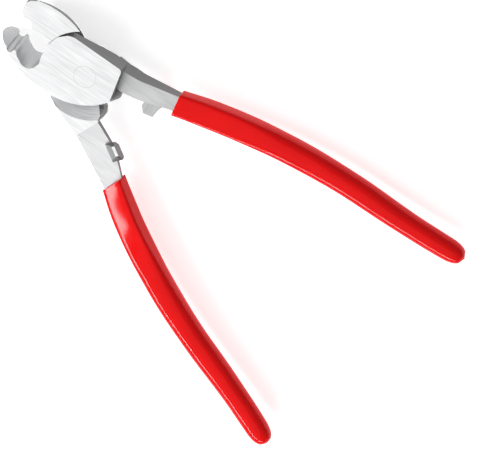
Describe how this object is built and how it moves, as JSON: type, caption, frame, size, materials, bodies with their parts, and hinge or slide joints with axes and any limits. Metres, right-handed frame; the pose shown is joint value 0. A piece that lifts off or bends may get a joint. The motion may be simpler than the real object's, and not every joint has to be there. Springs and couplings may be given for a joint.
{
  "type": "fencing pliers",
  "caption": "Hand pliers for cutting and holding wire and cable: two steel levers on a flush lap-joint pivot, hooked jaws, long red dipped handles.",
  "frame": {"origin": "on the pivot axis, at the flat back of the head that the tool lies on", "axes": "+X from the jaws to the handles along the line midway between the handles; +Y across the tool, towards the handle of the front lever; +Z through the thickness, from the back of the head to its front face"},
  "size_m": [0.2332, 0.1576, 0.02],
  "materials": {
    "steel": "ground and polished bare steel",
    "grip_red": "glossy dipped vinyl"
  },
  "bodies": {
    "rear": {"rear_lever": "steel", "pivot_rivet": "steel", "rear_sleeve": "grip_red"},
    "front": {"front_lever": "steel", "front_sleeve": "grip_red"}
  },
  "joints": [
    {"name": "pivot", "type": "hinge", "parent": "rear", "child": "front", "pos_m": [0, 0, 0.01], "axis": [0, 0, 1], "range_deg": [-25, 5]}
  ]
}
